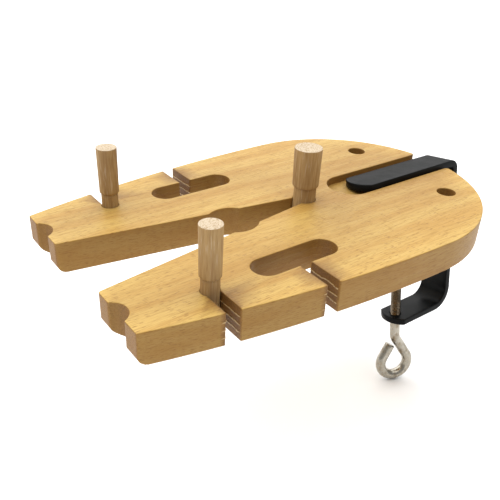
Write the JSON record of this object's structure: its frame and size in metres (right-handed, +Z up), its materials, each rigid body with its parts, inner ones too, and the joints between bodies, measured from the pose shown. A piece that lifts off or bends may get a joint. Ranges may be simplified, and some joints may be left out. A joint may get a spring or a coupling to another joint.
{
  "type": "clamp-on peg loom",
  "caption": "Forked beech work board with side slots and lift-out pegs, held to a table edge by a steel strap clamp and an eye screw.",
  "frame": {"origin": "on the board's underside, on its centre line, 37.5 mm in from the clamp end, which is over the clamp screw when the clamp stands square and central", "axes": "+X along the board from the arm tips towards the clamp end, +Y across the board to its left side as seen along +X, +Z up"},
  "size_m": [0.303, 0.185, 0.2167],
  "materials": {
    "board_beech": "bare, finely sanded",
    "peg_beech": "bare, as turned",
    "black_steel": "satin black coating, lightly scuffed",
    "plated_steel": "soft bright nickel or zinc plating"
  },
  "bodies": {
    "board": {"board": "board_beech"},
    "left_peg": {"slot_peg_left": "peg_beech"},
    "right_peg": {"slot_peg_right": "peg_beech"},
    "stout_peg": {"crotch_peg": "peg_beech"},
    "strap": {"clamp_strap": "black_steel"},
    "pad": {"pressure_pad": "plated_steel"},
    "screw": {"clamp_screw": "plated_steel"}
  },
  "joints": [
    {"name": "left_peg_lift", "type": "slide", "parent": "board", "child": "left_peg", "axis": [0, 0, 1], "range_m": [-0.003, 0.02]},
    {"name": "right_peg_lift", "type": "slide", "parent": "board", "child": "right_peg", "axis": [0, 0, 1], "range_m": [-0.003, 0.02]},
    {"name": "stout_peg_lift", "type": "slide", "parent": "board", "child": "stout_peg", "axis": [0, 0, 1], "range_m": [-0.003, 0.02]},
    {"name": "strap_rock", "type": "hinge", "parent": "board", "child": "strap", "pos_m": [0, 0.0094, 0.0151], "axis": [1, 0, 0], "range_deg": [0, 9.5]},
    {"name": "pad_travel", "type": "slide", "parent": "strap", "child": "pad", "axis": [0, 0.165, 0.9863], "range_m": [-0.07812, 0]},
    {"name": "screw_turn", "type": "hinge", "parent": "pad", "child": "screw", "pos_m": [0, -0.02133, -0.09646], "axis": [0, 0.165, 0.9863], "range_deg": [-22500, 0]}
  ],
  "couplings": [
    {"joint": "screw_turn", "follows": "pad_travel", "rad_per_m": 5026.5}
  ]
}
